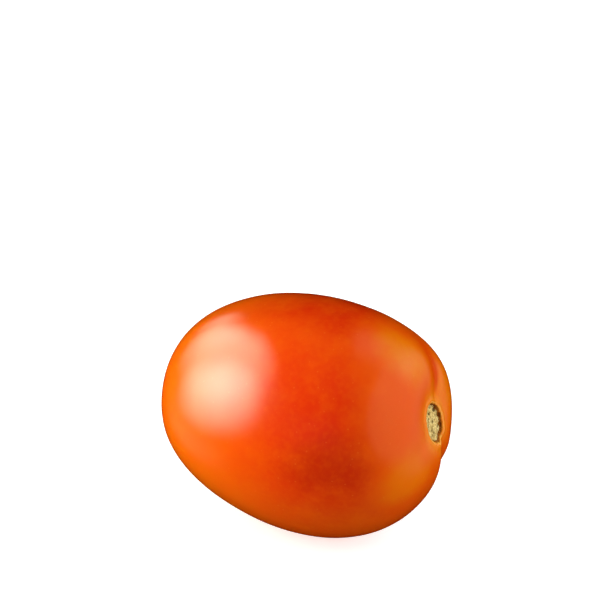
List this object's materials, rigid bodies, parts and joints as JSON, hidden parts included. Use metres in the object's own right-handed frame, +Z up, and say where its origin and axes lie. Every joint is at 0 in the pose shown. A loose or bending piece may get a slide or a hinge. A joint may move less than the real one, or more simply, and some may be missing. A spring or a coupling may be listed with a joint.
{
  "type": "plum tomato",
  "caption": "Ripe plum tomato without its stalk, lying on its side with the corky stem scar at one end, a fruit to eat or cook.",
  "frame": {"origin": "on the ground, under the middle of the fruit's bounding box; the small flat spot that it rests on lies in the ground plane", "axes": "+X towards the stem scar along the fruit's length, as seen from above, +Z up. The core rises 6.3 degrees towards the scar"},
  "size_m": [0.071, 0.058, 0.0569],
  "materials": {
    "skin": "ripe tomato skin, smooth and waxy, with a small corky scar at the stem end"
  },
  "bodies": {
    "root": {"tomato": "skin"}
  },
  "joints": []
}
